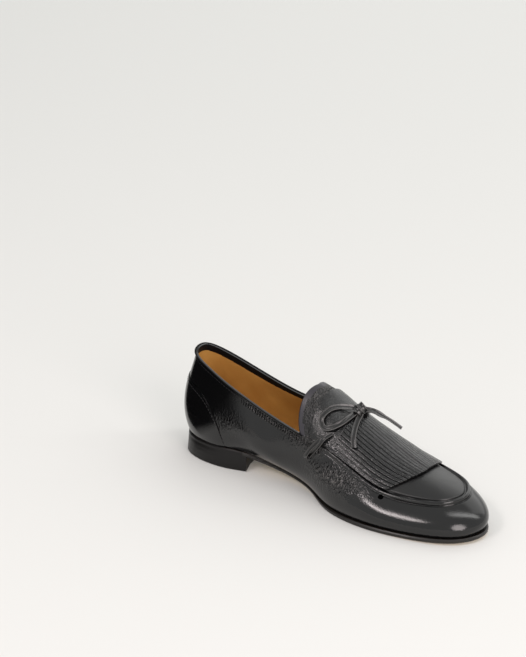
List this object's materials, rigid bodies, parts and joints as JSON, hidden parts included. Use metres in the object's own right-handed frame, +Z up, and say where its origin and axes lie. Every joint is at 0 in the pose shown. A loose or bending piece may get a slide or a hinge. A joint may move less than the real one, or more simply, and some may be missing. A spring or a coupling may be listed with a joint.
{
  "type": "slip-on loafer",
  "caption": "Left slip-on loafer: hollow leather upper with an apron seam, a fringed flap over the instep, a tied lace bow, a thin leather sole and a low heel block.",
  "frame": {"origin": "middle of the shoe's box, measured without the bow, on the floor under the sole", "axes": "+X from the heel to the toe, +Y to the outer side of the foot, +Z up"},
  "size_m": [0.2526, 0.0834, 0.0778],
  "materials": {
    "black_leather": "gloss",
    "lace_leather": "satin",
    "sole_leather": "satin",
    "heel_leather": "satin",
    "lining_leather": "matte"
  },
  "bodies": {
    "root": {"outsole": "sole_leather", "heel": "heel_leather", "insole": "lining_leather", "upper": "black_leather", "counter": "black_leather", "kiltie": "black_leather", "lace_bar_inner": "lace_leather", "lace_bar_outer": "lace_leather", "bow_knot": "lace_leather", "bow_loop_inner": "lace_leather", "bow_loop_outer": "lace_leather", "bow_end_inner": "lace_leather", "bow_end_outer": "lace_leather"}
  },
  "joints": []
}
